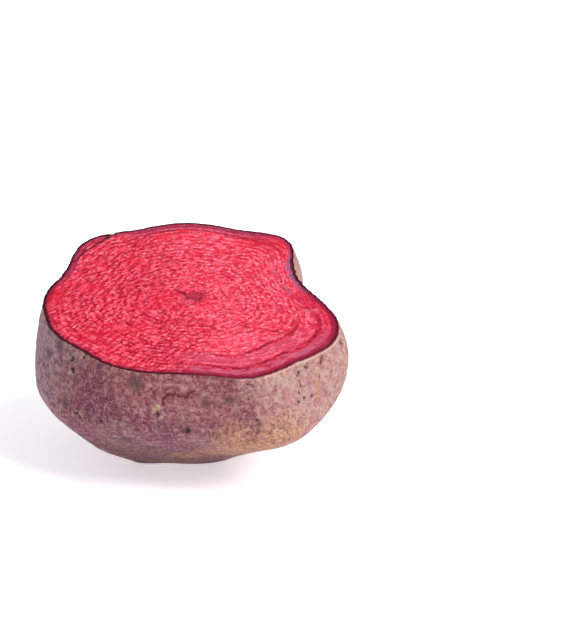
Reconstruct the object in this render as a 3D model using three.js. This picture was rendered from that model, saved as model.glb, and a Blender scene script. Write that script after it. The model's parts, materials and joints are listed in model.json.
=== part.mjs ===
// A cut beetroot: the lower part of one globe-shaped root, standing on the small flat scar where its
// tap root was trimmed, with one straight knife cut across the top that leans towards the viewer.
//
// The real thing grew as one piece, so it is one closed solid in one node. Its surface is a stack of
// plan outlines. They are threaded on the root's axis, which rises straight up from the flat spot and
// leans over evenly until it is square to the cut.
//
// Millimetres, +Z up. -Y is the side the cut face leans towards. The origin is on the surface it
// rests on, under the middle of its bounding box.

import * as THREE from 'three';

// ---- driving sizes -------------------------------------------------------------------------------

const GLOBE_RADIUS = 45.5;      // the plain round body at its widest, before swells and furrows
const LOWER_DEPTH = 31.5;       // from the widest level down to where the round body would close
const LOWER_FULLNESS = 1.4;     // 2 is a true ellipse below the widest level, less is more pointed
const UPPER_DEPTH = 53;         // half height of the ellipse above the widest level
const FLAT_SPOT_RADIUS = 14;    // the trimmed tap-root scar it rests on
const CUT_HEIGHT = 47.5;        // along the root's axis, from the flat spot to the knife cut
const CUT_TILT = 15;            // degrees between the cut face and level ground
const AXIS_START_Y = -2.5;      // the flat spot's middle, measured from the root's own centre line

// Swells stand out from the round body and furrows go in. Each one is a soft hill on the outline.
//   side    the way it faces, degrees round from +X towards +Y
//   spread  how far round it reaches before it has mostly faded, degrees
//   out     how far it stands out at its strongest, mm; a furrow is negative
//   height  where along the axis it is strongest, mm above the flat spot
//   fade    how far up and down it reaches before it has mostly faded, mm
const SWELLS_AND_FURROWS = [
  { name: 'deep furrow', side: 16, spread: 44, out: -10, height: 44, fade: 40 },
  { name: 'right shoulder', side: 56, spread: 16, out: 11, height: 40, fade: 16 },
  { name: 'back swell', side: 95, spread: 22, out: 7.5, height: 45, fade: 43 },
  { name: 'left shoulder', side: 130, spread: 16, out: 7.5, height: 48, fade: 38 },
  { name: 'narrow furrow', side: 159, spread: 9, out: -1, height: 46, fade: 20 },
  { name: 'left cheek', side: 216, spread: 18, out: 7, height: -4, fade: 26 },
  { name: 'left hollow', side: 223, spread: 10, out: -1, height: 42, fade: 29 },
  { name: 'front left lobe', side: 247, spread: 10, out: 1, height: 42, fade: 37 },
  { name: 'front lobe', side: 293, spread: 13, out: 5, height: 50, fade: 21 },
  { name: 'low right lobe', side: 301, spread: 19, out: 8.5, height: 22, fade: 11 },
  { name: 'right lobe', side: 330, spread: 28, out: 9, height: 42, fade: 17 },
];

// ---- how finely the surface is divided -----------------------------------------------------------

const OUTLINE_POINTS = 120;     // points round each outline
const OUTLINES = 26;            // outlines from the flat spot up to the cut, besides the first
const CROWDING = 1.5;           // over 1 brings the outlines closer together near the flat spot

// ---- the root's shape ----------------------------------------------------------------------------

const radians = THREE.MathUtils.degToRad;

// The round body closes to the flat spot's radius this far above its own bottom point.
const flatSpotLift =
  LOWER_DEPTH * (1 - (1 - (FLAT_SPOT_RADIUS / GLOBE_RADIUS) ** LOWER_FULLNESS) ** (1 / LOWER_FULLNESS));
const widestHeight = LOWER_DEPTH - flatSpotLift;

// Radius of the plain round body at a height along the axis.
function roundRadius(height) {
  const rise = height - widestHeight;
  if (rise > 0) return GLOBE_RADIUS * Math.sqrt(1 - (rise / UPPER_DEPTH) ** 2);
  const drop = -rise / LOWER_DEPTH;
  return GLOBE_RADIUS * (1 - drop ** LOWER_FULLNESS) ** (1 / LOWER_FULLNESS);
}

// A soft hill: 1 at its middle and 0.37 one width away.
function hill(distance, width) {
  return Math.exp(-((distance / width) ** 2));
}

// Radius of the real body at a height and a direction.
function bodyRadius(height, direction) {
  let radius = roundRadius(height);
  for (const { side, spread, out, height: middle, fade } of SWELLS_AND_FURROWS) {
    const turn = THREE.MathUtils.euclideanModulo(direction - side + 180, 360) - 180;
    radius += out * hill(turn, spread) * hill(height - middle, fade);
  }
  return radius;
}

// The axis bends as one arc, so that every outline is square to it.
const arcRadius = CUT_HEIGHT / radians(CUT_TILT);

function axisFrame(height) {
  const lean = height / arcRadius;
  return {
    centre: new THREE.Vector3(0, AXIS_START_Y - arcRadius * (1 - Math.cos(lean)), arcRadius * Math.sin(lean)),
    across: new THREE.Vector3(1, 0, 0),
    away: new THREE.Vector3(0, Math.cos(lean), Math.sin(lean)),
  };
}

// ---- the closed surface --------------------------------------------------------------------------

function rootGeometry() {
  const points = [];
  const triangles = [];
  const add = (point) => points.push(point) - 1;

  const outlines = [];
  for (let step = 0; step <= OUTLINES; step++) {
    const height = CUT_HEIGHT * (step / OUTLINES) ** CROWDING;
    const { centre, across, away } = axisFrame(height);
    const outline = [];
    for (let i = 0; i < OUTLINE_POINTS; i++) {
      const direction = (360 * i) / OUTLINE_POINTS;
      const radius = bodyRadius(height, direction);
      outline.push(add(centre.clone()
        .addScaledVector(across, radius * Math.cos(radians(direction)))
        .addScaledVector(away, radius * Math.sin(radians(direction)))));
    }
    outlines.push(outline);
  }

  // the skin, between each outline and the next one up
  for (let step = 0; step < OUTLINES; step++) {
    for (let i = 0; i < OUTLINE_POINTS; i++) {
      const next = (i + 1) % OUTLINE_POINTS;
      const [low, high] = [outlines[step], outlines[step + 1]];
      triangles.push([low[i], low[next], high[next]], [low[i], high[next], high[i]]);
    }
  }

  // the flat spot and the cut face, each a flat fan about the axis
  const flatMiddle = add(axisFrame(0).centre);
  const cutMiddle = add(axisFrame(CUT_HEIGHT).centre);
  for (let i = 0; i < OUTLINE_POINTS; i++) {
    const next = (i + 1) % OUTLINE_POINTS;
    triangles.push([flatMiddle, outlines[0][next], outlines[0][i]]);
    triangles.push([cutMiddle, outlines[OUTLINES][i], outlines[OUTLINES][next]]);
  }

  const geometry = new THREE.BufferGeometry().setFromPoints(points);
  geometry.setIndex(triangles.flat());
  geometry.computeBoundingBox();
  const middle = geometry.boundingBox.getCenter(new THREE.Vector3());
  geometry.translate(-middle.x, -middle.y, 0);
  geometry.computeVertexNormals();
  return geometry;
}

const skin = new THREE.MeshStandardMaterial({ color: 0x8a5e63, roughness: 0.85, metalness: 0 });

const beetroot = new THREE.Mesh(rootGeometry(), skin);
beetroot.name = 'beetroot';

const part = new THREE.Group();
part.name = 'cut_beetroot';
part.add(beetroot);

export default part;
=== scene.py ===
"""A cut beetroot: mauve skin dulled by dust, a crimson cut face with broken growth rings, and a dry
root scar underneath. Shapes are worked out in millimetres and turned into metres when a mesh is made."""

import json
import math

import bpy
import numpy as np
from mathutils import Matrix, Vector, noise
from mathutils.bvhtree import BVHTree


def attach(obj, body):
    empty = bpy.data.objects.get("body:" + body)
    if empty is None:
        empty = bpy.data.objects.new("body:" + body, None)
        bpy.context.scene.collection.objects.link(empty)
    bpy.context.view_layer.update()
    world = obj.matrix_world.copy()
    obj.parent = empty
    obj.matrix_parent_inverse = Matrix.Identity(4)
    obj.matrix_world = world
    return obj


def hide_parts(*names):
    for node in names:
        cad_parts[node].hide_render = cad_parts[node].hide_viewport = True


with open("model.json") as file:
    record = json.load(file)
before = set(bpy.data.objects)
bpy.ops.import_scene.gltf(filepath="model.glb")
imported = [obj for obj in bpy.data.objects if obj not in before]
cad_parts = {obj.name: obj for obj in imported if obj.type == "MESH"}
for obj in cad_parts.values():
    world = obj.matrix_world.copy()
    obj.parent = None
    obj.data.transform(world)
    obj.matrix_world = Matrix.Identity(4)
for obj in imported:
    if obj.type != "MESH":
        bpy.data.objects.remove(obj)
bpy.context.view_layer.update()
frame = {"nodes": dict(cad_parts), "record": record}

MM = 0.001                      # one millimetre in metres

# ---- how finely the root is divided --------------------------------------------------------------

COLUMNS = 512                   # points round the fullest outlines; a power of two
SKIN_STEP = 0.62                # mm between rows of the skin
FACE_STEP = 0.66                # mm between rings of the cut face
SCAR_STEP = 0.7                 # mm between rings of the root scar
CLOSEST = 0.30                  # mm; an outline closer-set than this gets half the points
FEWEST = 8                      # points in the smallest outlines; a power of two
MEASURED_ROWS = 141             # heights at which the CAD solid's radius is measured
END_CLEARANCE = 0.02            # mm by which the measuring stays clear of the two flat ends
ROUND_BLUR, UPWARD_BLUR = 2.6, 2.4      # columns and rows over which the CAD facets are smoothed
PROFILE_STEPS = 400             # steps in which the skin's length is added up

# ---- the root's axis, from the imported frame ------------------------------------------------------

mounts = {m["name"]: m for m in frame["record"]["mounts"]}
CUT_NORMAL = np.array(mounts["cut_face"]["axis"], float)
CUT_NORMAL /= np.linalg.norm(CUT_NORMAL)
CUT_OFFSET = float(np.dot(mounts["cut_face"]["pos_m"], CUT_NORMAL)) / MM
ACROSS = np.array([1.0, 0.0, 0.0])
CUT_AWAY = np.cross(CUT_NORMAL, ACROSS)
TILT = math.acos(CUT_NORMAL[2])


def flat_spot_middle():
    """The middle point of the CAD solid's flat spot, where the axis starts."""
    corners = np.array([v.co for v in frame["nodes"]["beetroot"].data.vertices]) / MM
    flat = corners[corners[:, 2] < 0.001]
    return flat[np.argmin(np.linalg.norm(flat - flat.mean(0), axis=1))]


# the axis is one arc: upright at the flat spot and square to the cut where it meets it
AXIS_START = flat_spot_middle()
ARC_RADIUS = (CUT_OFFSET - AXIS_START @ CUT_NORMAL) / math.sin(TILT)
CUT_HEIGHT = ARC_RADIUS * TILT


def axis_frame(height):
    """Where the axis is at these heights along it, and its sideways direction there."""
    lean = np.asarray(height, float) / ARC_RADIUS
    flat = np.zeros_like(lean)
    centre = AXIS_START + ARC_RADIUS * np.stack([flat, np.cos(lean) - 1, np.sin(lean)], -1)
    return centre, np.stack([flat, np.cos(lean), np.sin(lean)], -1)


def smooth_step(value, low, high):
    share = np.clip((value - low) / (high - low), 0, 1)
    return share * share * (3 - 2 * share)


# ---- the body's radius all round, measured on the CAD solid --------------------------------------

turns = np.arange(COLUMNS) * 2 * math.pi / COLUMNS
ROUND = np.stack([np.cos(turns), np.sin(turns)], -1)


def blur(grid, sigma, axis, wraps):
    """Gaussian blur along one axis of a grid; ends carry on straight when it doesn't wrap."""
    reach = int(3 * sigma) + 1
    weights = np.exp(-0.5 * (np.arange(-reach, reach + 1) / sigma) ** 2)
    weights /= weights.sum()
    grid = np.moveaxis(grid, axis, 0)
    if wraps:
        padded = np.concatenate([grid[-reach:], grid, grid[:reach]])
    else:
        before = 2 * grid[0] - grid[reach:0:-1]
        after = 2 * grid[-1] - grid[-2:-reach - 2:-1]
        padded = np.concatenate([before, grid, after])
    count = len(grid)
    result = sum(w * padded[i:i + count] for i, w in enumerate(weights))
    return np.moveaxis(result, 0, axis)


def measured_radius():
    """Heights along the axis, and the radius at each height in each direction."""
    cad = frame["nodes"]["beetroot"].data
    corners = [v.co / MM for v in cad.vertices]
    solid = BVHTree.FromPolygons(corners, [tuple(p.vertices) for p in cad.polygons])
    heights = np.linspace(0, CUT_HEIGHT, MEASURED_ROWS)
    inside = np.clip(heights, END_CLEARANCE, CUT_HEIGHT - END_CLEARANCE)
    centres, aways = axis_frame(inside)
    radius = np.zeros((len(heights), COLUMNS))
    for row, (centre, away) in enumerate(zip(centres, aways)):
        for column, (across_share, away_share) in enumerate(ROUND):
            ray = Vector(ACROSS * across_share + away * away_share)
            radius[row, column] = solid.ray_cast(Vector(centre), ray)[3]
    return heights, blur(blur(radius, ROUND_BLUR, 1, True), UPWARD_BLUR, 0, False)


RADIUS_HEIGHTS, RADIUS = measured_radius()


def radius_at(heights):
    """The radius in every direction at each of these heights."""
    place = np.interp(heights, RADIUS_HEIGHTS, np.arange(len(RADIUS_HEIGHTS)))
    low = np.minimum(place.astype(int), len(RADIUS_HEIGHTS) - 2)
    share = (place - low)[:, None]
    return RADIUS[low] * (1 - share) + RADIUS[low + 1] * share


def on_skin(direction, height):
    """The point of the skin at a direction in degrees and a height along the axis."""
    angle = math.radians(direction % 360)
    radius = np.interp(angle, np.append(turns, 2 * math.pi),
                       np.append(radius_at([height])[0], radius_at([height])[0][0]))
    centre, away = axis_frame(height)
    return centre + radius * (ACROSS * math.cos(angle) + away * math.sin(angle))


def on_cut(across, away):
    """The point of the cut face at these distances from its middle, in mm."""
    return CUT_MIDDLE + ACROSS * across + CUT_AWAY * away


CUT_MIDDLE = axis_frame(CUT_HEIGHT)[0]

# ---- marks on the skin ---------------------------------------------------------------------------
# Each is placed by the direction it faces, in degrees, and its height along the axis, in mm.

# direction, height, radius, depth
DARK_PITS = [
    (222.9, 44.0, 0.62, 0.40), (222.2, 43.3, 0.45, 0.30), (223.9, 40.9, 0.66, 0.45),
    (224.6, 40.2, 0.45, 0.3), (229.0, 27.4, 0.50, 0.30), (229.9, 26.2, 0.62, 0.40),
    (230.9, 25.0, 0.45, 0.25), (227.6, 27.0, 0.40, 0.2), (220.5, 25.0, 0.45, 0.25),
    (221.5, 23.8, 0.50, 0.30), (222.3, 36.1, 0.42, 0.15), (201.3, 35.1, 0.45, 0.15),
    (206.1, 30.5, 0.42, 0.15), (228.4, 46.1, 0.36, 0.20), (240.3, 27.5, 0.45, 0.15),
    (253.0, 14.8, 0.42, 0.15), (264.6, 25.3, 0.30, 0.10), (290.1, 40.5, 0.32, 0.10),
    (291.9, 33.1, 0.42, 0.12), (312.1, 45.4, 0.55, 0.25), (313.0, 46.2, 0.40, 0.15),
    (308.8, 44.6, 0.50, 0.20), (307.9, 44.0, 0.36, 0.15), (310.0, 45.0, 0.30, 0.10),
    (307.1, 38.5, 0.34, 0.12), (308.5, 36.6, 0.42, 0.15), (306.5, 35.8, 0.45, 0.20),
    (311.7, 35.9, 0.38, 0.15), (270.8, 28.0, 0.68, 0.35), (315.8, 41.4, 0.32, 0.10),
    (305.6, 44.0, 0.30, 0.10), (331.0, 46.0, 0.60, 0.25), (331.6, 45.2, 0.40, 0.15),
]
COLLARED_PITS = 14      # the first so many of them have a paler collar
# direction, height, radius
SOFT_SMUDGES = [
    (270.8, 28.2, 1.2), (276.9, 38.9, 1.5), (284.4, 39.9, 1.3), (214.4, 45.5, 1.6),
    (223.1, 28.9, 1.1), (252.4, 43.6, 1.7), (247.0, 19.5, 1.6), (237.0, 45.8, 0.9),
    (238.6, 44.0, 0.7), (209.0, 41.0, 1.3),
]
PALE_SPECKS = [
    (227.6, 46.6, 0.55), (226.9, 45.9, 0.45), (223.1, 39.5, 0.55), (222.0, 38.9, 0.40),
    (240.0, 43.2, 0.45), (260.6, 36.4, 0.70), (259.5, 35.3, 0.60), (258.9, 34.4, 0.45),
    (261.6, 32.4, 0.45), (206.0, 33.0, 0.4), (285.0, 13.5, 0.8),
]
ORANGE_SPECKS = [
    (314.9, 38.9, 0.75), (314.6, 37.2, 0.8), (314.4, 35.6, 0.6), (315.9, 41.6, 0.4),
    (316.6, 43.0, 0.35),
]
# both ends as direction, height; half width
DARK_SLITS = [
    ((242.7, 38.6), (242.3, 37.2), 0.10),
    ((242.2, 37.0), (241.5, 34.8), 0.24),
    ((260.5, 34.3), (260.8, 32.7), 0.30),
    ((290.1, 45.7), (291.6, 45.5), 0.28),
    ((319.5, 46.4), (317.8, 44.6), 0.26),
    ((308.1, 42.2), (308.3, 40.2), 0.22),
    ((251.0, 42.8), (253.2, 42.6), 0.30),
]
SCAB = [
    (262.4, 37.4), (262.7, 39.1), (263.6, 40.3), (264.9, 41.1), (266.0, 40.1), (267.0, 41.3),
    (268.4, 40.2), (269.6, 41.0), (270.4, 39.6), (271.3, 41.6), (273.3, 42.4),
]
# direction, height, radius, depth
BROWN_DENT = (252.0, 41.6, 1.7, 0.35)
# the curled flap of skin ends at the rim in a notch: direction, width in degrees, depth, length down
FLAP_END, NOTCH_WIDTH, NOTCH_DEPTH, NOTCH_LENGTH = 122.4, 0.8, 0.9, 3.5
# the cut edge of the skin is ragged: how far it strays, and the band below the cut that does
RAGGED_REACH, RAGGED_BAND = 0.30, 1.2
# direction, height, radius
TAN_PATCHES = [
    (288.0, 21.5, 8.0), (299.0, 21.5, 8.5), (287.0, 13.5, 8.0), (268.0, 9.0, 4.5),
]
PURPLE_PATCHES = [
    (255.7, 29.6, 4.0), (274.9, 16.5, 5.0), (236.0, 35.0, 7.0), (226.0, 20.0, 7.0),
    (263.0, 22.0, 5.0),
]

# ---- relief --------------------------------------------------------------------------------------

RAISED_RINGS = 13                           # growth rings that stand out faintly on the cut face
PITH_HOLLOW = (-2.0, 2.0, 3.2, 0.22)        # across, away, radius and depth, in mm
SCAR_HOLLOW = 0.55                          # mm, at the middle of the root scar

def bumps(points, size, octaves=2):
    """Smooth natural noise, about -1 to 1, at the given feature size in mm."""
    return np.array([noise.fractal(Vector(p / size), 1.0, 2.0, octaves) for p in points])


def skin_relief(points, round_shares, heights):
    """How far each skin point stands out from the smooth body, in mm."""
    lumps = 0.38 * bumps(points, 17.0)
    dimples = 0.12 * bumps(points + 40, 4.2, 3)
    girdle = np.column_stack([round_shares * 7.0, heights / 1.9])
    wrinkles = 0.075 * np.minimum(bumps(girdle, 1.0), 0.25)
    grain = 0.045 * bumps(points + 90, 1.5)
    relief = lumps + dimples + wrinkles + grain
    past_flap = np.degrees(np.arctan2(round_shares[:, 1], round_shares[:, 0])) - FLAP_END
    notch = NOTCH_DEPTH * np.exp(-(past_flap / NOTCH_WIDTH) ** 2)
    relief -= notch * smooth_step(heights, CUT_HEIGHT - NOTCH_LENGTH, CUT_HEIGHT)
    ragged = RAGGED_REACH * bumps(points + 33, 1.3)
    relief += ragged * smooth_step(heights, CUT_HEIGHT - RAGGED_BAND, CUT_HEIGHT)
    for direction, height, radius, depth in DARK_PITS + [BROWN_DENT]:
        away = np.linalg.norm(points - on_skin(direction, height), axis=1) / radius
        relief -= depth * np.exp(-away ** 2)
        relief += 0.35 * depth * np.exp(-((away - 1.7) / 0.6) ** 2)
    return relief


def face_relief(points, levels, round_shares):
    """How far each point of the cut face stands above the flat cut, in mm."""
    wobble = bumps(points, 7.0)
    rings = np.sin((levels + 0.012 * wobble) * 2 * math.pi * RAISED_RINGS) * 0.025
    strokes = np.column_stack([round_shares * 9.0, levels * 30])
    grain = 0.035 * bumps(strokes, 1.0) + 0.02 * bumps(points + 60, 1.4)
    knife = 0.05 * bumps(points + 20, 24.0)
    across, away, radius, depth = PITH_HOLLOW
    from_pith = np.linalg.norm(points - on_cut(across, away), axis=1)
    return rings + grain + knife - depth * np.exp(-(from_pith / radius) ** 2)


# ---- the rings of points, from the flat spot's middle up the skin and in over the cut face ------

rings = []      # each: points, level, rim distance, region above it, share of the way up the skin
FAR_BELOW_RIM = -100.0      # mm; the rim distance of the whole scar
MIDDLE_RIM = 45.0           # mm; the rim distance of the cut face's middle
SCAR_RISE, PITH_DIP = 0.5, 0.1      # mm by which the two middle points lie inside their planes


def thinned(columns_wanted):
    columns = COLUMNS
    while columns > FEWEST and columns > columns_wanted:
        columns //= 2
    return columns


def add_ring(points, level, rim, region, run=0.0):
    """Keeps as many of a full outline's points as its length needs."""
    length = np.linalg.norm(points - np.roll(points, 1, 0), axis=1).sum()
    columns = thinned(length / CLOSEST)
    pick = slice(None, None, COLUMNS // columns)
    level = np.broadcast_to(level, COLUMNS)[pick]
    rim = np.broadcast_to(rim, COLUMNS)[pick]
    rings.append({"points": points[pick], "level": level, "rim": rim, "region": region,
                  "run": run, "round": ROUND[pick]})


def scar_rings(outline, runs_below):
    """The dry scar of the trimmed tap root: slightly hollow and rough, with a few faint rings."""
    middle = AXIS_START
    reach = np.linalg.norm(outline - middle, axis=1)
    count = int(reach.mean() / SCAR_STEP)
    for step in range(1, count):
        share = step / count
        points = middle + (outline - middle) * share
        rough = bumps(points + 15, 2.4, 3)
        hollow = SCAR_HOLLOW * (1 - share ** 4) + 0.16 * rough * (1 - share ** 6)
        hollow += 0.05 * math.sin(share * 22) * (1 - share ** 4)
        points = points + np.array([0, 0, 1.0]) * np.maximum(hollow, 0)[:, None]
        add_ring(points, runs_below + (1 - share) * 0.3, FAR_BELOW_RIM, "scar")


def skin_grid():
    """Rows of skin points from the flat spot to the cut edge, evenly spaced along the skin."""
    heights = np.linspace(0, CUT_HEIGHT, PROFILE_STEPS)
    mean = radius_at(heights).mean(1)
    run = np.concatenate([[0], np.cumsum(np.hypot(np.diff(heights), np.diff(mean)))])
    stops = np.linspace(0, run[-1], int(run[-1] / SKIN_STEP))
    stops = np.concatenate([stops[:-1], [run[-1] - 0.3, run[-1] - 0.12, run[-1]]])
    rows = np.interp(stops, run, heights)
    centres, aways = axis_frame(rows)
    radii = radius_at(rows)
    sideways = ACROSS * ROUND[:, None, 0:1] + aways[None] * ROUND[:, None, 1:2]
    sideways = sideways.transpose(1, 0, 2)
    points = centres[:, None] + radii[..., None] * sideways
    round_step = np.roll(points, -1, 1) - np.roll(points, 1, 1)
    up_step = np.gradient(points, axis=0)
    outward = np.cross(round_step, up_step)
    outward /= np.linalg.norm(outward, axis=2, keepdims=True)
    relief = np.stack([skin_relief(p, ROUND, np.full(COLUMNS, h)) for p, h in zip(points, rows)])
    keep_low = smooth_step(stops, 0, 2.5)[:, None]
    moved = points + outward * (relief * keep_low)[..., None]
    # the flat spot and the cut edge stay in their planes
    off_cut = (moved @ CUT_NORMAL - CUT_OFFSET)
    off_cut_before = points @ CUT_NORMAL - CUT_OFFSET
    drop = smooth_step(stops, run[-1] - 2.0, run[-1])[:, None] * (off_cut - off_cut_before)
    moved = moved - CUT_NORMAL * drop[..., None]
    moved[..., 2] = np.maximum(moved[..., 2], 0)
    return moved, stops, run[-1]


def face_rings(edge):
    """The cut face: a thin dried lip of skin, then rings that grow rounder towards the middle."""
    inward = CUT_MIDDLE - edge
    radius = np.linalg.norm(inward, axis=1)
    inward /= radius[:, None]
    ragged = 0.5 + 0.5 * bumps(edge + 70, 2.6, 3)
    up = CUT_NORMAL
    for inset, lift in ((0.10, 0.14), (0.24, 0.10), (0.40, -0.05), (0.70, -0.01), (1.1, 0.0)):
        height = lift * (ragged if lift > 0 else np.ones(COLUMNS))
        points = edge + inward * inset + up * height[:, None]
        add_ring(points, 1 - inset / radius, np.full(COLUMNS, inset), "face")
    mean = radius.mean()
    count = int(mean / FACE_STEP)
    for step in range(2, count):
        level = 1 - step / count
        reach = level * (mean + (radius - mean) * level)
        points = CUT_MIDDLE - inward * reach[:, None]
        height = face_relief(points, np.full(COLUMNS, level), ROUND) * min(1, (1 - level) * 20)
        add_ring(points + up * height[:, None], level, radius - reach, "face")


LEVEL_LENGTH = 45.0     # mm of skin that count as one level below the rim

grid, stops, skin_length = skin_grid()
scar_rings(grid[0], 1 + skin_length / LEVEL_LENGTH)
for row, stop in zip(grid, stops):
    below = skin_length - stop
    add_ring(row, 1 + below / LEVEL_LENGTH, -below, "skin", stop / skin_length)
rings[-1]["region"] = "face"
face_rings(grid[-1])

# ---- the closed mesh, with its UV map ------------------------------------------------------------

# the map's sheets: left, bottom, width, height
FACE_SHEET = (0.012, 0.350, 0.630, 0.640)
FRONT_SHEET = (0.012, 0.012, 0.650, 0.320)
BACK_SHEET = (0.672, 0.350, 0.316, 0.640)       # turned a quarter
SCAR_SHEET = (0.690, 0.030, 0.270, 0.270)
FACE_ACROSS, FACE_AWAY, SCAR_SPAN = 98, 100, 36     # mm of root that fill a sheet
FACE_MIDDLE_UP = 0.46           # how far up its sheet the cut face's middle lies


def on_sheet(sheet, u, v):
    return sheet[0] + sheet[2] * u, sheet[1] + sheet[3] * v


def map_place(region, point, turn, run):
    """Where a corner goes on the map; turn is its share of a full turn."""
    offset = point - CUT_MIDDLE
    if region == "face":
        return on_sheet(FACE_SHEET, 0.5 + (ACROSS @ offset) / FACE_ACROSS,
                        FACE_MIDDLE_UP + (CUT_AWAY @ offset) / FACE_AWAY)
    if region == "scar":
        return on_sheet(SCAR_SHEET, 0.5 + (point[0] - AXIS_START[0]) / SCAR_SPAN,
                        0.5 + (point[1] - AXIS_START[1]) / SCAR_SPAN)
    if turn[1]:
        return on_sheet(FRONT_SHEET, (turn[0] - 0.5) * 2, run)
    return on_sheet(BACK_SHEET, 1 - run, turn[0] * 2)


def closed_root():
    starts, points, growth, rim = [], [], [], []
    for ring in rings:
        starts.append(len(points))
        points.extend(ring["points"])
        growth.extend(np.column_stack([ring["round"], ring["level"]]))
        rim.extend(ring["rim"])
    scar_middle, cut_middle = len(points), len(points) + 1
    points += [AXIS_START + [0, 0, SCAR_RISE], CUT_MIDDLE - CUT_NORMAL * PITH_DIP]
    growth += [np.array([0, 0, rings[0]["level"][0]]), np.zeros(3)]
    rim += [FAR_BELOW_RIM, MIDDLE_RIM]

    faces, corners_on_map, finishes = [], [], []

    def add_face(region, *corners):
        """Corners are (ring number, column, columns in that ring), or a middle point's number."""
        turns_here = [c[1] / c[2] for c in corners if isinstance(c, tuple)]
        front = sum(turns_here) / len(turns_here) > 0.5
        ids, places = [], []
        for corner in corners:
            if isinstance(corner, tuple):
                ring_number, column, columns = corner
                vertex = starts[ring_number] + column % columns
                turn, run = column / columns, rings[ring_number]["run"]
            else:
                vertex, turn, run = corner, 0.0, 0.0
            ids.append(vertex)
            places.append(map_place(region, points[vertex], (turn, front), run))
        faces.append(ids)
        corners_on_map.extend(places)
        finishes.append(1 if region == "face" else 0)

    first, last = len(rings[0]["points"]), len(rings[-1]["points"])
    for i in range(first):
        add_face("scar", scar_middle, (0, i + 1, first), (0, i, first))
    for k in range(len(rings) - 1):
        low, high = len(rings[k]["points"]), len(rings[k + 1]["points"])
        region = rings[k]["region"]
        for i in range(min(low, high)):
            if low == high:
                add_face(region, (k, i, low), (k, i + 1, low),
                         (k + 1, i + 1, high), (k + 1, i, high))
            elif high > low:
                add_face(region, (k, i, low), (k, i + 1, low), (k + 1, 2 * i + 1, high))
                add_face(region, (k, i, low), (k + 1, 2 * i + 1, high), (k + 1, 2 * i, high))
                add_face(region, (k, i + 1, low), (k + 1, 2 * i + 2, high), (k + 1, 2 * i + 1, high))
            else:
                add_face(region, (k, 2 * i, low), (k, 2 * i + 1, low), (k + 1, i, high))
                add_face(region, (k, 2 * i + 1, low), (k, 2 * i + 2, low), (k + 1, i + 1, high))
                add_face(region, (k, 2 * i + 1, low), (k + 1, i + 1, high), (k + 1, i, high))
    top = len(rings) - 1
    for i in range(last):
        add_face("face", (top, i, last), (top, i + 1, last), cut_middle)

    mesh = bpy.data.meshes.new("beetroot_flesh_and_skin")
    mesh.from_pydata([tuple(p * MM) for p in points], [], faces)
    mesh.polygons.foreach_set("material_index", finishes)
    mesh.attributes.new("growth", "FLOAT_VECTOR", "POINT").data.foreach_set("vector", np.ravel(growth))
    mesh.attributes.new("rim", "FLOAT", "POINT").data.foreach_set("value", np.array(rim, float))
    mesh.uv_layers.new(name="OFBake").uv.foreach_set("vector", np.ravel(corners_on_map))
    mesh.shade_smooth()
    mesh.validate()
    return mesh


# ---- shader maths --------------------------------------------------------------------------------


def tone(code):
    """A colour written as RRGGBB, as the shader's linear colour."""
    shares = [int(code[i:i + 2], 16) / 255 for i in (0, 2, 4)]
    return (*[s / 12.92 if s <= 0.04045 else ((s + 0.055) / 1.055) ** 2.4 for s in shares], 1.0)


class Wire:
    """One output socket. Arithmetic on it adds Math nodes."""

    def __init__(self, graph, socket):
        self.graph, self.socket = graph, socket

    def maths(self, operation, *values, clamp=False):
        settings = {"operation": operation, "use_clamp": clamp}
        return self.graph.node("ShaderNodeMath", settings, dict(enumerate(values)))

    def __add__(self, other): return self.maths("ADD", self, other)
    def __sub__(self, other): return self.maths("SUBTRACT", self, other)
    def __mul__(self, other): return self.maths("MULTIPLY", self, other)
    def __truediv__(self, other): return self.maths("DIVIDE", self, other)
    def __rsub__(self, other): return self.maths("SUBTRACT", other, self)
    __radd__, __rmul__ = __add__, __mul__

    def sine(self): return self.maths("SINE", self)
    def larger(self, other): return self.maths("MAXIMUM", self, other)
    def held(self): return self.maths("ADD", self, 0.0, clamp=True)

    def ramp(self, low, high):
        """0 at low and 1 at high, with soft ends; low may be the larger."""
        return self.graph.node("ShaderNodeMapRange", {"interpolation_type": "SMOOTHSTEP"},
                               {"Value": self, "From Min": low, "From Max": high})


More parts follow.
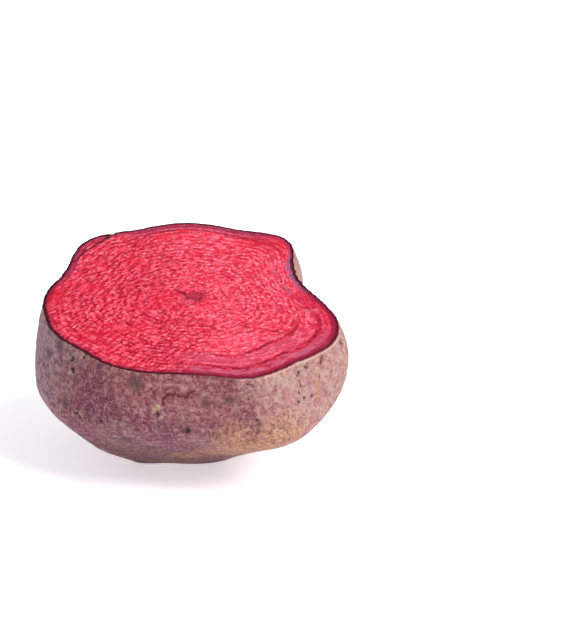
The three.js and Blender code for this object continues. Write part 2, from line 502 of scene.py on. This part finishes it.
class Graph:
    """One material's nodes."""

    def __init__(self, name):
        self.material = bpy.data.materials.new(name)
        self.material.use_nodes = True
        self.tree = self.material.node_tree
        self.tree.nodes.clear()
        place = self.node("ShaderNodeTexCoord", {}, {}, "Object")
        self.place = self.stretched(place, (1 / MM,) * 3)     # Object coordinates in mm
        self.growth = self.node("ShaderNodeAttribute", {"attribute_name": "growth"}, {}, "Vector")
        self.rim = self.node("ShaderNodeAttribute", {"attribute_name": "rim"}, {}, "Fac")

    def node(self, kind, settings, inputs, output=0):
        made = self.tree.nodes.new(kind)
        for name, value in settings.items():
            setattr(made, name, value)
        for name, value in inputs.items():
            if isinstance(value, Wire):
                self.tree.links.new(value.socket, made.inputs[name])
            else:
                made.inputs[name].default_value = value
        return Wire(self, made.outputs[output]) if len(made.outputs) else made

    # vectors
    def vector_maths(self, operation, *values, output=0, **named):
        inputs = {**dict(enumerate(values)), **named}
        return self.node("ShaderNodeVectorMath", {"operation": operation}, inputs, output)

    def stretched(self, vector, factors):
        return self.vector_maths("MULTIPLY", vector, factors)

    def moved(self, vector, offset):
        return self.vector_maths("ADD", vector, offset)

    def along(self, vector, direction):
        return self.vector_maths("DOT_PRODUCT", vector, tuple(direction), output="Value")

    def parts(self, vector):
        made = self.node("ShaderNodeSeparateXYZ", {}, {0: vector})
        return [Wire(self, made.socket.node.outputs[i]) for i in range(3)]

    def joined(self, x, y, z):
        return self.node("ShaderNodeCombineXYZ", {}, {0: x, 1: y, 2: z})

    # patterns
    def cloud(self, vector, size, detail=2.0, rough=0.5, output="Factor"):
        inputs = {"Vector": vector, "Scale": 1 / size, "Detail": detail, "Roughness": rough}
        made = self.node("ShaderNodeTexNoise", {"noise_dimensions": "3D"}, inputs, 0)
        return Wire(self, made.socket.node.outputs[0 if output == "Factor" else 1])

    def cells(self, vector, size, feature="F1", output="Distance", spread=1.0):
        return self.node("ShaderNodeTexVoronoi", {"feature": feature},
                         {"Vector": vector, "Scale": 1 / size, "Randomness": spread}, output)

    def shaken(self, vector, size, reach, detail=2.0):
        """The vector with every place pushed up to about half of reach by noise of that size."""
        push = self.cloud(vector, size, detail, output="Color")
        push = self.vector_maths("SUBTRACT", push, (0.5, 0.5, 0.5))
        return self.vector_maths("ADD", vector, self.vector_maths("SCALE", push, Scale=reach))

    # colours
    def mix(self, share, first, second):
        made = self.node("ShaderNodeMix", {"data_type": "RGBA"}, {0: share})
        mixer = made.socket.node
        for socket, value in ((mixer.inputs[6], first), (mixer.inputs[7], second)):
            if isinstance(value, Wire):
                self.tree.links.new(value.socket, socket)
            else:
                socket.default_value = value
        return Wire(self, mixer.outputs[2])

    # marks
    def spot(self, vector, middle, radius, softness=0.5):
        away = self.vector_maths("DISTANCE", vector, tuple(middle), output="Value")
        return away.ramp(radius * (1 + softness), radius * (1 - softness))

    def stroke(self, vector, start, end, half_width, softness=0.6):
        """A line with round ends between two points."""
        start, end = np.array(start, float), np.array(end, float)
        run = end - start
        from_start = self.vector_maths("SUBTRACT", vector, tuple(start))
        share = self.along(from_start, run / (run @ run)).held()
        nearest = self.vector_maths("SCALE", tuple(run), Scale=share)
        away = self.vector_maths("DISTANCE", from_start, nearest, output="Value")
        return away.ramp(half_width * (1 + softness), half_width * (1 - softness))

    def most(self, masks):
        """The largest of the masks. Each is merged as soon as it is made, so few are held at once."""
        masks = iter(masks)
        result = next(masks)
        for mask in masks:
            result = result.larger(mask)
        return result

    def finished(self, bump_height, bump_size, strength, **sockets):
        normal = self.node("ShaderNodeBump", {}, {"Height": bump_height, "Distance": bump_size * MM,
                                                  "Strength": strength})
        inputs = {name.replace("_", " "): value for name, value in sockets.items()}
        shader = self.node("ShaderNodeBsdfPrincipled", {}, {**inputs, "Normal": normal})
        self.node("ShaderNodeOutputMaterial", {}, {"Surface": shader})
        return self.material


def facing_mask(round_across, round_away):
    """Gives facing(direction): 1 on the side that faces a direction in degrees, -1 on the other."""
    def facing(direction):
        turn = math.radians(direction)
        return round_across * math.cos(turn) + round_away * math.sin(turn)
    return facing


# ---- the skin ------------------------------------------------------------------------------------
# Keep its bump height short: with a few more nodes behind it, Cycles runs out of stack space for this
# finish and renders the skin black, without stopping.

SCAR_MARK = ((-2.2, 2.1, 0), 12.0)          # middle and radius

def skin_finish():
    g = Graph("beetroot_skin")
    place = g.place
    rough_place = g.shaken(place, 1.0, 1.1)
    round_across, round_away, level = g.parts(g.growth)

    facing = facing_mask(round_across, round_away)
    patches = g.cloud(place, 19.0, 3.0, 0.55)
    blotches = g.cloud(g.moved(place, (31, 7, 12)), 7.0, 3.0, 0.6)
    film = g.cloud(g.moved(place, (-14, 22, 5)), 3.4, 4.0, 0.62)
    mottle = g.cloud(place, 1.7, 3.0, 0.66)
    grain = g.cloud(g.moved(place, (8, -11, 3)), 0.95, 3.0, 0.6)
    grit = g.cloud(g.moved(place, (5, 5, 5)), 0.55, 2.0, 0.6)
    girdle = g.cloud(g.joined(round_across * 9, round_away * 9, level * 46), 1.0, 3.0, 0.6)

    # mauve and plum on most of it, pale and pinkish on the right-hand flank, paler on the far left
    # edge: partly dust, partly painted rim light
    flank = facing(334) + (blotches - 0.5) * 0.35 + (patches - 0.5) * 0.2 + (film - 0.5) * 0.15
    flank = flank.ramp(0.70, 0.86)
    far_flank = (facing(118) + (blotches - 0.5) * 0.6).ramp(0.72, 1.02) * 0.7
    # paler along the left edge, seen edge-on: partly dust, partly painted rim light
    dust_and_rim_light = (facing(190) + (blotches - 0.5) * 0.5 + (film - 0.5) * 0.4).ramp(0.80, 1.0)

    colour = g.mix(patches.ramp(0.40, 0.60), tone("71404f"), tone("845058"))
    colour = g.mix(blotches.ramp(0.52, 0.68) * 0.75, colour, tone("733344"))
    colour = g.mix(film.ramp(0.48, 0.62) * 0.55, colour, tone("8d716e"))
    colour = g.mix(dust_and_rim_light * (0.35 + 0.4 * mottle.ramp(0.4, 0.6)), colour, tone("a68a90"))
    # painted shade: darker low on the front, towards the floor
    painted_low_shade = (level + (film - 0.5) * 0.3).ramp(1.62, 1.95) * facing(262).ramp(0.55, 0.9)
    colour = g.mix(painted_low_shade * 0.45, colour, tone("5f3433"))
    reddish = (level + (blotches - 0.5) * 0.4).ramp(1.45, 1.15) * facing(262).ramp(0.70, 0.95)
    colour = g.mix(reddish * 0.45, colour, tone("93484c"))
    purple = g.most(g.spot(g.shaken(place, 3.5, 4.0), on_skin(d, h), r, 0.6)
                    for d, h, r in PURPLE_PATCHES)
    colour = g.mix(purple * 0.65, colour, tone("6e2c45"))

    pale = g.mix(mottle.ramp(0.40, 0.62), tone("966a66"), tone("a98378"))
    pale = g.mix(film.ramp(0.46, 0.60) * 0.60, pale, tone("a08a7a"))
    pale = g.mix(blotches.ramp(0.48, 0.64) * 0.55, pale, tone("9b5a62"))
    furrow_side = (facing(28) + (blotches - 0.5) * 0.3).ramp(0.70, 0.92) * 0.9
    pale_side = g.most([flank, far_flank, furrow_side])
    colour = g.mix(pale_side, colour, pale)

    tan = g.most(g.spot(g.shaken(place, 5.0, 7.0), on_skin(d, h), r, 0.5)
                 for d, h, r in TAN_PATCHES)
    tan = tan * (0.5 + 0.5 * (mottle * 0.5 + film * 0.5).ramp(0.42, 0.56))
    ochre = g.mix(grain.ramp(0.38, 0.62), tone("976548"), tone("b58a66"))
    colour = g.mix(tan * 0.86, colour, ochre)

    # close mottling: dark grains, pale grains, and faint wrinkles that run round the root
    soft = 1 - 0.62 * g.most([pale_side, tan])
    colour = g.mix(mottle.ramp(0.50, 0.36) * 0.42 * soft, colour, tone("4c2833"))
    colour = g.mix(mottle.ramp(0.52, 0.64) * 0.36 * (1 - 0.6 * tan), colour, tone("ab8782"))
    colour = g.mix(grain.ramp(0.48, 0.36) * 0.46 * soft, colour, tone("3f2029"))
    colour = g.mix(grain.ramp(0.53, 0.65) * 0.32 * (1 - 0.6 * tan), colour, tone("b99a92"))
    colour = g.mix(grit.ramp(0.56, 0.68) * 0.42, colour, tone("38191f"))
    colour = g.mix(grit.ramp(0.44, 0.32) * 0.26, colour, tone("bb9c96"))
    creases = girdle.ramp(0.42, 0.32)
    colour = g.mix(creases * 0.32 * soft, colour, tone("4a2a33"))

    # small scattered pits, some with a paler collar
    scatter = g.cells(rough_place, 5.5)
    lucky = g.parts(g.cells(rough_place, 5.5, output="Color"))[0].ramp(0.66, 0.70)
    small_pits = scatter.ramp(0.10, 0.05) * lucky
    small_collars = scatter.ramp(0.20, 0.11) * lucky * (1 - small_pits)

    pits = g.most(g.spot(rough_place, on_skin(d, h), r, 0.45) for d, h, r, _ in DARK_PITS)
    collars = g.most(g.spot(rough_place, on_skin(d, h), r * 2.1, 0.4)
                     for d, h, r, _ in DARK_PITS[:COLLARED_PITS])
    slits = g.most(g.stroke(g.shaken(place, 1.2, 0.45), on_skin(*a), on_skin(*b), w)
                    for a, b, w in DARK_SLITS)
    scab = g.most(g.stroke(rough_place, on_skin(*a), on_skin(*b), 0.42)
                  for a, b in zip(SCAB, SCAB[1:]))
    scab = scab * grain.ramp(0.38, 0.46)
    smudges = g.most(g.spot(rough_place, on_skin(*s[:2]), s[2], 0.7) for s in SOFT_SMUDGES)
    specks = g.most(g.spot(rough_place, on_skin(*s[:2]), s[2], 0.6) for s in PALE_SPECKS)
    orange = g.most(g.spot(rough_place, on_skin(*s[:2]), s[2], 0.6) for s in ORANGE_SPECKS)
    dent = g.spot(rough_place, on_skin(*BROWN_DENT[:2]), BROWN_DENT[2] * 0.8, 0.6)

    colour = g.mix(small_collars * 0.30, colour, tone("a8877c"))
    colour = g.mix(small_pits * 0.65, colour, tone("2c171a"))
    colour = g.mix(collars * (1 - pits) * 0.35, colour, tone("9d8274"))
    colour = g.mix(smudges * (0.46 + 0.3 * grain.ramp(0.4, 0.6)), colour, tone("3c322e"))
    colour = g.mix(dent * 0.60, colour, tone("6a4f45"))
    colour = g.mix(specks * 0.60, colour, tone("ac9a7a"))
    colour = g.mix(orange * 0.65, colour, tone("a5744a"))
    colour = g.mix(pits * 0.82, colour, tone("281315"))
    colour = g.mix(slits * 0.8, colour, tone("43131d"))
    colour = g.mix(scab * 0.9, colour, tone("501020"))

    # just under the cut a pale line on the flank is a painted highlight along the skin's edge; greyer
    # elsewhere
    # painted highlight: a pale line along the cut edge of the skin on the flank
    collar = g.rim.ramp(-0.9, -0.4) * g.rim.ramp(-0.05, -0.2)
    colour = g.mix(collar * flank * 0.45, colour, tone("d0a99c"))
    colour = g.mix(g.rim.ramp(-0.22, -0.04) * 0.85, colour, tone("3a0a1e"))

    # browner towards the floor; the dry scar underneath is cork with faint broken rings
    under = (level + film * 0.4 - 0.2).ramp(1.95, 2.5)
    under = under * 0.65
    brown = g.mix(blotches.ramp(0.40, 0.60), tone("6f4a49"), tone("8a675e"))
    colour = g.mix(under, colour, brown)
    scar = g.spot(g.shaken(place, 4.0, 6.0, 4.0), *SCAR_MARK, 0.30)
    wavy = level + mottle * 0.05 + blotches * 0.10
    scar_rings_tone = (wavy * 90).sine().ramp(-0.8, 1.0) * film.ramp(0.36, 0.56)
    cork = g.mix(scar_rings_tone, tone("5b4037"), tone("856a58"))
    cork = g.mix(mottle.ramp(0.58, 0.38) * 0.6, cork, tone("38241e"))
    cork = g.mix(blotches.ramp(0.52, 0.66) * 0.5, cork, tone("9b8470"))
    colour = g.mix(scar * 0.9, colour, cork)

    height = mottle * 0.55 + grain * 0.45 + grit * 0.15 + film * 0.5 - creases * 0.25
    height = height - pits * 0.9 - slits * 0.9 - small_pits * 0.7 + scab * 0.5
    roughness = 0.60 + 0.22 * mottle + 0.1 * film
    return g.finished(height, 0.36, 0.6, Base_Color=colour, Roughness=roughness,
                      Specular_IOR_Level=0.15, Sheen_Weight=0.02, Sheen_Roughness=0.6)


# ---- the cut face --------------------------------------------------------------------------------

# strokes on the cut face: across and away from its middle, in mm, and half width
CRACKS = [
    ((19.6, -17.3), (23.7, -19.2), 0.34), ((23.7, -19.2), (28.4, -21.0), 0.38),
    ((12.7, -20.2), (17.0, -18.9), 0.28), ((14.3, -15.9), (16.6, -16.7), 0.26),
    ((1.0, -20.9), (6.6, -18.0), 0.24), ((31.0, -5.4), (33.0, -5.9), 0.42),
    ((24.4, -4.2), (25.6, -4.5), 0.30), ((-10.4, -33.9), (-3.6, -31.6), 0.28),
    ((19.0, -24.0), (24.0, -24.6), 0.20),
]
PITH_STROKES = [
    ((-5.0, 5.3), (-2.9, 3.6), 0.55), ((-2.9, 3.6), (-1.0, 0.2), 0.34), ((1.0, -1.6), (2.4, 0.2), 0.40),
    ((2.4, 3.2), (4.4, 3.4), 0.34),
]
GREY_STREAKS = [
    ((24.8, 22.5), (27.3, 18.6), 0.7), ((27.3, 18.6), (28.0, 13.6), 0.8),
    ((28.0, 13.6), (31.6, 8.2), 0.8), ((23.0, 23.6), (24.4, 19.6), 0.7),
    ((21.8, 17.6), (24.6, 14.4), 0.6), ((25.8, 7.6), (28.0, 3.4), 0.5),
]
PALE_STREAKS = [
    ((31.4, -7.4), (35.6, -7.0), 0.35), ((29.6, -2.0), (31.0, -4.0), 0.35),
    ((25.0, 2.0), (27.0, 0.0), 0.3),
]
# middle, radius
DEEP_RED = [((22.0, 37.5), 7.0), ((30.5, 29.5), 5.5), ((38.5, 3.0), 6.0), ((-39.5, 2.0), 4.5)]
# points along the edge of the curled flap of skin, and the half width of each stretch
CURLED_EDGE = [
    (-28.9, 40.4), (-27.3, 40.9), (-27.4, 38.4), (-29.8, 34.9), (-33.4, 29.6), (-36.0, 22.6),
]
CURL_WIDTHS = [0.9, 0.8, 0.55, 0.38, 0.28]
# middle and radius
CALM_PATCH = ((13.5, -25.0, 0), 7.5)
PITH_MARK = ((0.4, 1.4, 0), 2.8)

HATCH_SLANT = 54                # degrees; which way the left-hand strokes slant
ROW_SPACING = 1.28              # mm between the dark rows there
DARK_RINGS = 14                 # growth rings drawn as broken lines


def flesh_finish():
    g = Graph("beetroot_flesh")
    place = g.place
    round_across, round_away, level = g.parts(g.growth)
    on_face = g.moved(place, tuple(-CUT_MIDDLE))
    across, away = g.along(on_face, ACROSS), g.along(on_face, CUT_AWAY)
    plane = g.joined(across, away, 0.0)

    facing = facing_mask(round_across, round_away)
    drift = g.cloud(place, 9.0, 2.0) - 0.5
    shiver = g.cloud(g.moved(place, (9, 4, 1)), 2.2, 2.0) - 0.5
    ring = level + drift * 0.05 + shiver * 0.02

    # short strokes: some follow the rings, some slant across the left-hand side, the middle is crumbly
    dashes = g.cloud(g.joined(round_across * 13, round_away * 13, ring * 34), 1.0, 2.0, 0.55)
    fine = g.cloud(g.joined(round_across * 24, round_away * 24, ring * 50), 1.0, 2.0, 0.6)
    slant = math.radians(HATCH_SLANT)
    with_slant = across * math.cos(slant) + away * math.sin(slant) + drift * 3
    over_slant = away * math.cos(slant) - across * math.sin(slant) + shiver * 0.8 + drift * 3
    hatch = g.cloud(g.joined(with_slant / 2.9, over_slant / 1.05, 0.0), 1.0, 2.0, 0.5)
    crumbs = g.cloud(g.moved(place, (2, 2, 7)), 1.45, 2.0, 0.6)
    specks = g.cloud(g.moved(place, (4, -9, 2)), 0.7, 2.0, 0.6)

    left_share = (across * 0.9 + away * 0.15 + drift * 26).ramp(8, -12) * 0.8
    centre_share = level.ramp(0.50, 0.16) * 0.6
    weave = dashes * (1 - left_share) + hatch * left_share
    weave = weave * (1 - centre_share) + crumbs * centre_share
    weave = weave * 0.62 + fine * 0.16 + crumbs * 0.22
    weave = weave + (ring * 150).sine() * (0.034 - 0.034 * centre_share)
    # the smooth pale patch inside the lower right rings
    calm = g.spot(g.shaken(plane, 6.0, 5.0), *CALM_PATCH, 0.5)
    calm = calm.larger(level.ramp(0.86, 0.93) * 0.4)
    weave = 0.5 + (weave - 0.5) * (1 - 0.5 * calm) + 0.01 * calm

    # plump grains with dark gaps between them
    slanted = g.cells(g.joined(with_slant / 1.9, over_slant / 1.2, 0.0), 1.0, "DISTANCE_TO_EDGE",
                      spread=0.72)
    ringed = g.cells(g.shaken(plane, 1.6, 0.9), 1.5, "DISTANCE_TO_EDGE")
    grains = slanted * left_share + ringed * (1 - left_share)
    gaps = grains.ramp(0.21, 0.07) * (weave * 0.6 + specks * 0.6).ramp(0.66, 0.52) * (1 - calm * 0.5)

    colour = g.mix(weave.ramp(0.40, 0.56), tone("d20c30"), tone("ee4460"))
    lumps = weave.ramp(0.46, 0.57) * grains.ramp(0.05, 0.20) * (1 - 0.22 * left_share)
    colour = g.mix(lumps, colour, tone("fe8494"))
    colour = g.mix(left_share * 0.20, colour, tone("d2082c"))
    colour = g.mix((1 - left_share) * 0.16, colour, tone("f8667c"))
    rows = (over_slant * (2 * math.pi / ROW_SPACING) + shiver * 3.0).sine().ramp(0.10, 0.85)
    rows = rows * (hatch * 0.6 + specks * 0.4).ramp(0.54, 0.46) * left_share
    colour = g.mix(rows * 0.68, colour, tone("8c0424"))
    colour = g.mix(gaps * (0.38 + 0.54 * left_share), colour, tone("8c031f"))
    colour = g.mix(weave.ramp(0.43, 0.35) * (0.26 + 0.22 * left_share), colour, tone("85041f"))
    # pale pink specks on the raised grains: painted glints of moisture
    colour = g.mix(specks.ramp(0.60, 0.68) * weave.ramp(0.48, 0.56) * 0.18, colour, tone("ffacb2"))
    colour = g.mix(specks.ramp(0.42, 0.32) * (0.20 + 0.36 * left_share), colour, tone("85052a"))

    # slow changes of tone: rosy, hot red, and dull mauve grains
    slow = g.cloud(g.moved(place, (3, 18, -6)), 12.0, 3.0, 0.55)
    colour = g.mix(slow.ramp(0.50, 0.66) * 0.35, colour, tone("e0102f"))
    for middle, radius in DEEP_RED:
        deep = g.spot(g.shaken(plane, 6.0, 6.0), (*middle, 0), radius, 0.5)
        deep = deep * (0.85 - 0.35 * weave.ramp(0.44, 0.58))
        colour = g.mix(deep, colour, tone("c40b2c"))
    mauve = g.cloud(g.moved(place, (-22, 3, 9)), 2.6, 3.0, 0.65)
    colour = g.mix(mauve.ramp(0.56, 0.68) * 0.32, colour, tone("a04562"))

    # growth rings: thin broken crimson lines
    broken = g.cloud(g.joined(round_across * 3.4, round_away * 3.4, ring * 9), 1.0, 3.0, 0.6)
    lines = (ring * 2 * math.pi * DARK_RINGS).sine().ramp(0.55, 0.95) * broken.ramp(0.44, 0.60)
    colour = g.mix(lines * 0.50, colour, tone("8c0829"))

    # bands along the rim, widest at the lower right and along the top
    low_right = facing(300).ramp(0.78, 0.94)
    right_tip = facing(345).ramp(0.86, 0.97)
    far_side = facing(88).ramp(0.80, 0.97)
    notch = facing(24).ramp(0.86, 0.97)
    far_left = facing(143).ramp(0.86, 0.98)
    nibble = g.cloud(g.moved(place, (6, 13, 1)), 0.9, 2.0) - 0.5
    edge_ring = g.rim + shiver * 1.2 + drift * 1.4 + nibble * 1.4
    teeth = dashes.ramp(0.42, 0.53)
    dull = g.mix(mauve.ramp(0.42, 0.60), tone("99294b"), tone("b3506e"))
    colour = g.mix(edge_ring.ramp(10, 6) * right_tip * 0.6, colour, tone("bb1238"))

    inner_band = edge_ring.ramp(12.6, 11.4) * edge_ring.ramp(6.4, 7.6) * low_right
    colour = g.mix(inner_band * (0.30 + 0.3 * mauve.ramp(0.42, 0.58)), colour, tone("bd4c69"))
    outer_band = edge_ring.ramp(5.6, 4.8) * low_right + edge_ring.ramp(5.2, 4.2) * far_side * 0.95
    outer_band = (outer_band + edge_ring.ramp(2.6, 2.0) * far_left).held()
    colour = g.mix(outer_band * 0.62, colour, dull)
    streak = edge_ring.ramp(4.6, 3.9) * edge_ring.ramp(2.0, 2.7) * low_right
    colour = g.mix(streak * 0.36 * mauve.ramp(0.40, 0.54), colour, tone("b0627e"))

    first = edge_ring.ramp(5.0, 5.5) * edge_ring.ramp(7.0, 6.4) * facing(310).ramp(0.72, 0.90)
    second = edge_ring.ramp(11.7, 12.4) * edge_ring.ramp(13.8, 13.0) * facing(310).ramp(0.80, 0.95)
    fourth = edge_ring.ramp(4.0, 4.5) * edge_ring.ramp(5.6, 5.0) * far_side
    band_lines = g.most([first, second, fourth]) * (0.15 + 0.85 * teeth)
    third = edge_ring.ramp(1.7, 2.1) * edge_ring.ramp(3.1, 2.6) * far_side.larger(far_left * 0.7)
    colour = g.mix(third * 0.7, colour, tone("5c1434"))
    colour = g.mix(band_lines * 0.92, colour, tone("8a0222"))

    # everywhere the last few millimetres are a darker, bluer red
    colour = g.mix(edge_ring.ramp(3.0, 0.6) * 0.38, colour, tone("8a0f36"))
    lavender = edge_ring.ramp(2.6, 1.9) * edge_ring.ramp(0.5, 1.1) * notch * mauve.ramp(0.36, 0.50)
    colour = g.mix(lavender * 0.75, colour, tone("84597c"))

    face_place = g.shaken(plane, 1.3, 0.8)
    grey = g.most(g.stroke(face_place, (*a, 0), (*b, 0), w, 0.9) for a, b, w in GREY_STREAKS)
    grey = grey * mauve.ramp(0.36, 0.56)
    colour = g.mix(grey * 0.55, colour, tone("7c5c80"))
    whitish = g.most(g.stroke(face_place, (*a, 0), (*b, 0), w, 0.9) for a, b, w in PALE_STREAKS)
    colour = g.mix(whitish * 0.28, colour, tone("c898ac"))
    cracks = g.most(g.stroke(face_place, (*a, 0), (*b, 0), w) for a, b, w in CRACKS)
    colour = g.mix(cracks * 0.80, colour, tone("a00428"))
    pith = g.spot(g.shaken(plane, 2.0, 1.8), *PITH_MARK, 0.7)
    colour = g.mix(pith * 0.62, colour, tone("8c1238"))
    pith_strokes = g.most(g.stroke(face_place, (*a, 0), (*b, 0), w, 0.8) for a, b, w in PITH_STROKES)
    colour = g.mix(pith_strokes * 0.80, colour, tone("6b0418"))
    curl = g.most(g.stroke(g.shaken(plane, 1.3, 0.4), (*a, 0), (*b, 0), w)
                   for a, b, w in zip(CURLED_EDGE, CURLED_EDGE[1:], CURL_WIDTHS))
    colour = g.mix(curl * 0.85, colour, tone("22060f"))

    # the cut edge of the skin itself: almost black, but wider and redder at the right
    edge = g.rim + shiver * 0.8 + drift * 0.5 + nibble * 0.8
    wide_edge = low_right.larger(right_tip)
    colour = g.mix(edge.ramp(2.7, 1.9) * wide_edge * 0.72, colour, tone("8f0c34"))
    colour = g.mix(edge.ramp(1.8, 0.6) * 0.85, colour, tone("640424"))
    peel = (g.rim + shiver * 0.4 + nibble * 0.9).ramp(0.90, 0.45)
    colour = g.mix(peel * (0.90 - 0.45 * wide_edge), colour, tone("2b0416"))
    lit_lip = g.rim.ramp(0.20, 0.05) * facing(318).ramp(0.62, 0.85)
    colour = g.mix(lit_lip * 0.8, colour, tone("a86f66"))

    height = weave.ramp(0.40, 0.60) * 0.8 + crumbs * 0.5 - lines * 0.3 - cracks * 1.2
    height = height - pith_strokes * 0.9 - curl * 0.8 - band_lines * 0.4 - rows * 0.4
    roughness = 0.36 + 0.2 * crumbs + 0.25 * peel
    return g.finished(height, 0.22, 0.6, Base_Color=colour, Roughness=roughness,
                      Specular_IOR_Level=0.07, Subsurface_Weight=0.06, Subsurface_Scale=0.001,
                      Subsurface_Radius=(1.0, 0.25, 0.25))


root = bpy.data.objects.new("beetroot_flesh_and_skin", closed_root())
bpy.context.scene.collection.objects.link(root)
root.data.materials.append(skin_finish())
root.data.materials.append(flesh_finish())
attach(root, "root")
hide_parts("beetroot")

# ---- floor, light and camera ---------------------------------------------------------------------

FLOOR_REACH = 6.0                           # metres from the middle to each side
FLOOR_COLOUR, FLOOR_GLOW = (0.90, 0.90, 0.93, 1), (0.965, 0.965, 1.0, 1)
GLOW_STRENGTH = 0.53
TENT_COLOUR, TENT_STRENGTH = (0.97, 0.98, 1, 1), 0.52
SUN_STRENGTH, SUN_SPREAD = 3.3, 34          # the spread in degrees
SUN_TRAVELS = (-0.62, 0.42, -0.68)
LOOK_DOWN = 14                              # degrees
LENS, SENSOR = 101.9, 36                    # mm
CAMERA_STAND = (0.02706, -0.49916, 0.16522)     # metres


def studio():
    floor_mesh = bpy.data.meshes.new("floor")
    half = FLOOR_REACH
    floor_mesh.from_pydata([(-half, -half, 0), (half, -half, 0), (half, half, 0), (-half, half, 0)],
                           [], [(0, 1, 2, 3)])
    floor = bpy.data.objects.new("floor", floor_mesh)
    bpy.context.scene.collection.objects.link(floor)
    paint = bpy.data.materials.new("white_light_table")
    paint.use_nodes = True
    shader = paint.node_tree.nodes["Principled BSDF"]
    shader.inputs["Base Color"].default_value = FLOOR_COLOUR
    shader.inputs["Roughness"].default_value = 0.9
    shader.inputs["Specular IOR Level"].default_value = 0.1
    shader.inputs["Emission Color"].default_value = FLOOR_GLOW
    shader.inputs["Emission Strength"].default_value = GLOW_STRENGTH
    floor_mesh.materials.append(paint)

    world = bpy.data.worlds.new("white_tent")
    world.use_nodes = True
    sky = world.node_tree.nodes["Background"]
    sky.inputs["Color"].default_value = TENT_COLOUR
    sky.inputs["Strength"].default_value = TENT_STRENGTH
    bpy.context.scene.world = world

    # one broad light in front, high on the right
    key = bpy.data.lights.new("key", "SUN")
    key.energy = SUN_STRENGTH
    key.angle = math.radians(SUN_SPREAD)
    lamp = bpy.data.objects.new("key", key)
    lamp.rotation_euler = Vector(SUN_TRAVELS).to_track_quat("-Z", "Y").to_euler()
    bpy.context.scene.collection.objects.link(lamp)


def camera():
    """Looks down a little, from half a metre in front and slightly to the right of the root."""
    lens = bpy.data.cameras.new("camera")
    lens.lens = LENS
    lens.sensor_width = SENSOR
    lens.clip_start, lens.clip_end = 0.01, 50
    stand = bpy.data.objects.new("camera", lens)
    stand.location = CAMERA_STAND
    stand.rotation_euler = (math.pi / 2 - math.radians(LOOK_DOWN), 0, 0)
    bpy.context.scene.collection.objects.link(stand)
    bpy.context.scene.camera = stand


studio()
camera()
bpy.context.scene.view_settings.view_transform = "Standard"
